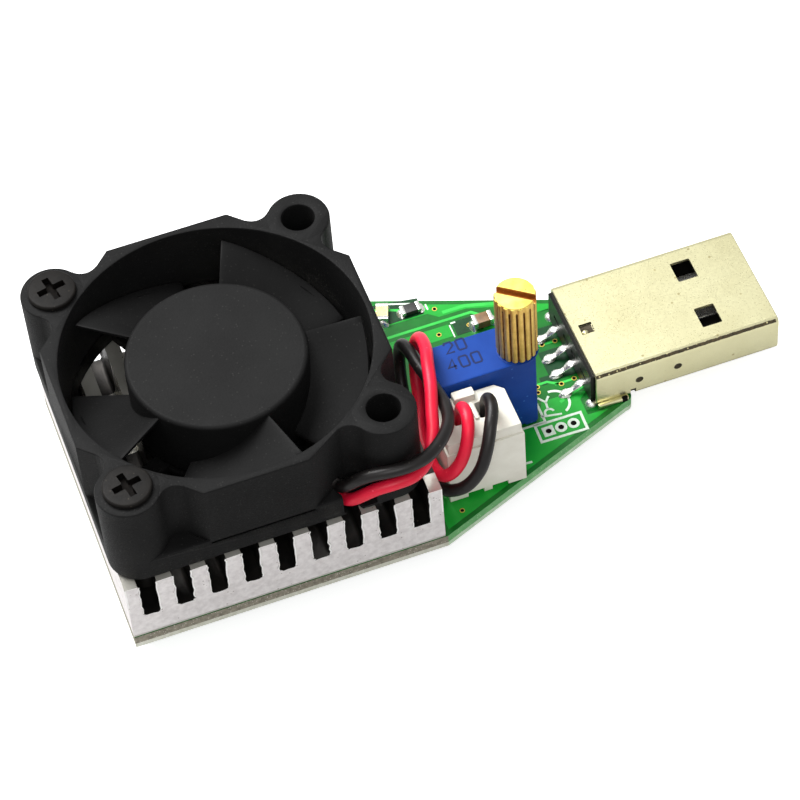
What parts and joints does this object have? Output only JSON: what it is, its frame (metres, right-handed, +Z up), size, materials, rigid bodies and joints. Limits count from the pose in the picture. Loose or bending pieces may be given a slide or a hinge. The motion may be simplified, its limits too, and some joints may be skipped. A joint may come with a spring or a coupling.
{
  "type": "dc electronic load",
  "caption": "Plug-in load tester: tapered circuit board with a USB plug, finned heatsink under a small fan, a trimmer with a fluted brass knob and a two-wire fan lead.",
  "frame": {"origin": "centre of the end face of the USB plug's tongue, 52.4 mm from the fan's axis along +X", "axes": "+X towards the USB plug's mouth, +Y to the side of the power light, +Z up through the fan"},
  "size_m": [0.0682, 0.0314, 0.0228],
  "materials": {
    "board": "green solder mask",
    "aluminium": "machined",
    "adhesive": "matt",
    "fan_black": "fine matt",
    "steel": "plain",
    "magnet": "matt",
    "bronze": "sintered",
    "copper": "enamelled wire",
    "screw_black": "black oxide",
    "trimmer_blue": "satin",
    "brass": "bright",
    "tin": "tinned",
    "connector_white": "natural nylon",
    "plated_shell": "satin plating",
    "insulator": "satin",
    "led": "cream",
    "chip_black": "matt",
    "chip_brown": "ceramic",
    "wire_red": "satin",
    "wire_black": "satin"
  },
  "bodies": {
    "base": {"circuit_board": "board", "motor_board": "board", "heatsink": "aluminium", "thermal_adhesive": "adhesive", "fan_frame": "fan_black", "stator_core": "steel", "sleeve_bearing": "bronze", "winding_1": "copper", "winding_2": "copper", "winding_3": "copper", "winding_4": "copper", "fan_screw_back": "screw_black", "fan_screw_front": "screw_black", "trimmer_case": "trimmer_blue", "trimmer_pin_1": "tin", "trimmer_pin_2": "tin", "trimmer_pin_3": "tin", "header_pin_1": "tin", "header_pin_2": "tin", "crimp_contact_1": "tin", "crimp_contact_2": "tin", "usb_contact_1": "tin", "usb_contact_2": "tin", "usb_contact_3": "tin", "usb_contact_4": "tin", "fan_header": "connector_white", "fan_plug": "connector_white", "usb_shell": "plated_shell", "usb_insulator": "insulator", "power_led": "led", "led_resistor": "chip_black", "shunt_resistor": "chip_black", "gate_resistor": "chip_black", "divider_resistor": "chip_black", "power_transistor": "chip_black", "amplifier_chip": "chip_black", "voltage_reference": "chip_black", "supply_capacitor": "chip_brown", "filter_capacitor": "chip_brown", "fan_lead_red": "wire_red", "fan_lead_black": "wire_black"},
    "impeller": {"impeller": "fan_black", "rotor_yoke": "steel", "rotor_magnet": "magnet", "rotor_shaft": "steel", "shaft_clip": "steel"},
    "adjuster": {"trimmer_knob": "brass", "trimmer_screw": "brass"}
  },
  "joints": [
    {"name": "fan_spin", "type": "hinge", "parent": "base", "child": "impeller", "pos_m": [-0.05245, 0.00068, 0.01195], "axis": [0, 0, 1], "continuous": true},
    {"name": "trimmer_turn", "type": "hinge", "parent": "base", "child": "adjuster", "pos_m": [-0.02506, -0.0039, 0.00945], "axis": [0, 0, 1], "continuous": true}
  ]
}
